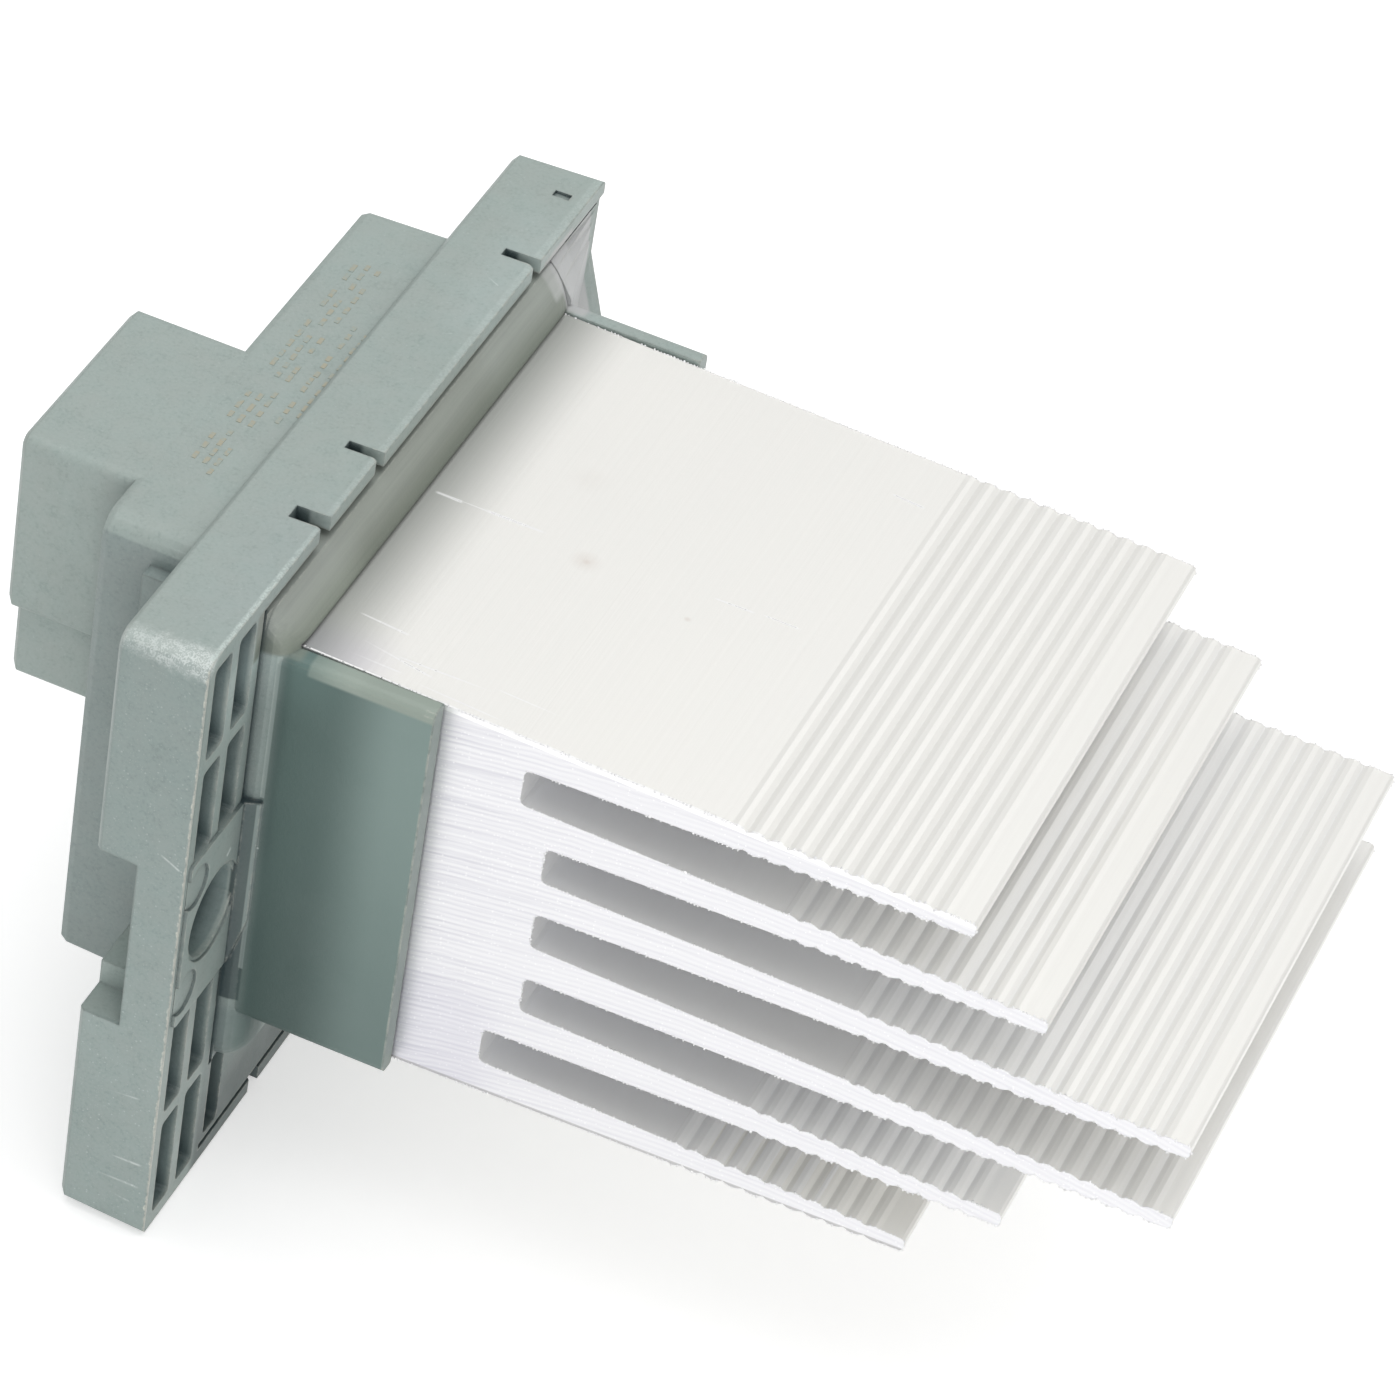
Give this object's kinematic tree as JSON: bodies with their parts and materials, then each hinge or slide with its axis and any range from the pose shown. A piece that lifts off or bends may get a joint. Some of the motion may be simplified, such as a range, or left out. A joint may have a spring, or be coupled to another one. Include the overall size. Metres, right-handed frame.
{
  "type": "blower motor resistor",
  "caption": "Flanged plastic housing with a keyed connector behind it and a stepped, ribbed aluminium fin heat sink in front.",
  "frame": {"origin": "middle of the flange, on the plane of its seating face", "axes": "+X out of the seating face along the fins, +Y along the fins' sawn length, +Z across the stack of fins, towards the side with the connector"},
  "size_m": [0.105, 0.074, 0.0612],
  "materials": {
    "housing_plastic": "fine-grained grey-green moulding",
    "bare_aluminium": "bare extrusion, sawn ends",
    "board_fibreglass": "solder-masked fibreglass",
    "transistor_epoxy": "black moulded epoxy",
    "tinned_copper": "tinned copper",
    "spring_steel": "blued spring steel",
    "zinc_plated_steel": "bright zinc plate",
    "turned_brass": "turned",
    "silicone_rubber": "soft, dark",
    "thermal_pad": "soft, grey",
    "chip_ceramic": "fired ceramic",
    "diode_glass": "sealed bead",
    "capacitor_sleeve": "shrunk sleeve"
  },
  "bodies": {
    "root": {"housing": "housing_plastic", "heat_sink": "bare_aluminium", "circuit_board": "board_fibreglass", "transistor_near_body": "transistor_epoxy", "transistor_far_body": "transistor_epoxy", "transistor_near_frame": "tinned_copper", "transistor_far_frame": "tinned_copper", "thermal_pad_near": "thermal_pad", "thermal_pad_far": "thermal_pad", "clamp_spring": "spring_steel", "clamp_screw": "zinc_plated_steel", "standoff_near": "turned_brass", "standoff_far": "turned_brass", "board_screw_near": "zinc_plated_steel", "board_screw_far": "zinc_plated_steel", "seal_upper": "silicone_rubber", "seal_lower": "silicone_rubber", "power_blade_near": "tinned_copper", "power_blade_far": "tinned_copper", "signal_blade_near": "tinned_copper", "signal_blade_far": "tinned_copper", "capacitor_can": "capacitor_sleeve", "capacitor_bung": "silicone_rubber", "capacitor_lead_short": "tinned_copper", "capacitor_lead_long": "tinned_copper", "thermal_fuse_body": "chip_ceramic", "thermal_fuse_wire": "tinned_copper", "diode_body": "diode_glass", "diode_wire": "tinned_copper", "current_shunt": "tinned_copper", "driver_chip": "transistor_epoxy", "gate_resistor_near": "chip_ceramic", "gate_resistor_far": "chip_ceramic", "filter_capacitor_near": "chip_ceramic", "filter_capacitor_far": "chip_ceramic"}
  },
  "joints": []
}
